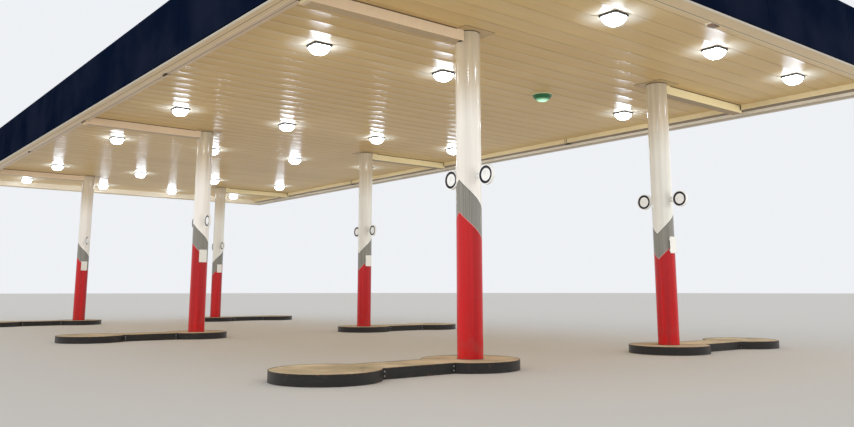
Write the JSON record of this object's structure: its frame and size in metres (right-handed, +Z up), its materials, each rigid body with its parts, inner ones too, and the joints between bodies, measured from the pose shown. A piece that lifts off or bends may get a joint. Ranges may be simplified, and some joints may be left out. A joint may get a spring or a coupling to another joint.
{
  "type": "filling station canopy",
  "caption": "Forecourt canopy: flat ribbed deck and tall dark fascia on round banded columns that stand on dog-bone islands, with square lights, gutters and disc signs.",
  "frame": {"origin": "on the ground, under the middle of the roof, midway between the column rows", "axes": "+X along the roof's long way, to the right when seen from the front; -Y the front row of columns; +Z up"},
  "size_m": [27.4, 12, 6.16],
  "materials": {
    "island_concrete": "broom-finished pale concrete, matt",
    "kerb_steel": "dark painted steel kerb form, scuffed",
    "column_wrap": "glossy film in three zigzag bands, white over grey over red",
    "soffit_paint": "satin off-white enamel",
    "disc_enamel": "gloss white with a dark ring",
    "plate_white": "gloss white, bare",
    "frame_primer": "grey shop primer, matt",
    "deck_paint": "glossy off-white coil coating",
    "gutter_paint": "satin off-white enamel",
    "fascia_panel": "satin navy composite panel",
    "galvanised_tube": "galvanised, dull",
    "cap_paint": "satin navy flashing",
    "light_can": "dark bronze paint, satin",
    "light_lens": "pressed prismatic glass, lit",
    "green_lens": "translucent green moulded dome",
    "box_paint": "dull brown-grey paint"
  },
  "bodies": {
    "root": {"island_front_left": "island_concrete", "island_front_middle": "island_concrete", "island_front_right": "island_concrete", "island_back_left": "island_concrete", "island_back_middle": "island_concrete", "island_back_right": "island_concrete", "island_kerbs_front": "kerb_steel", "island_kerbs_back": "kerb_steel", "column_front_left": "column_wrap", "column_front_middle": "column_wrap", "column_front_right": "column_wrap", "column_back_left": "column_wrap", "column_back_middle": "column_wrap", "column_back_right": "column_wrap", "column_collars": "soffit_paint", "number_discs_front": "disc_enamel", "number_discs_back": "disc_enamel", "notice_plates": "plate_white", "main_beam_left": "frame_primer", "main_beam_middle": "frame_primer", "main_beam_right": "frame_primer", "purlins_front": "frame_primer", "purlins_middle": "frame_primer", "purlins_back": "frame_primer", "deck_left": "deck_paint", "deck_middle": "deck_paint", "deck_right": "deck_paint", "gutter_front": "gutter_paint", "gutter_back": "gutter_paint", "leader_boxes_front": "gutter_paint", "leader_boxes_back": "gutter_paint", "soffit_trim": "soffit_paint", "fascia_front": "fascia_panel", "fascia_back": "fascia_panel", "fascia_left": "fascia_panel", "fascia_right": "fascia_panel", "fascia_rails": "galvanised_tube", "fascia_brackets": "galvanised_tube", "cap_flashing": "cap_paint", "light_housings_front": "light_can", "light_housings_back": "light_can", "light_lenses_front": "light_lens", "light_lenses_back": "light_lens", "round_lamp": "green_lens", "junction_box": "box_paint"}
  },
  "joints": []
}
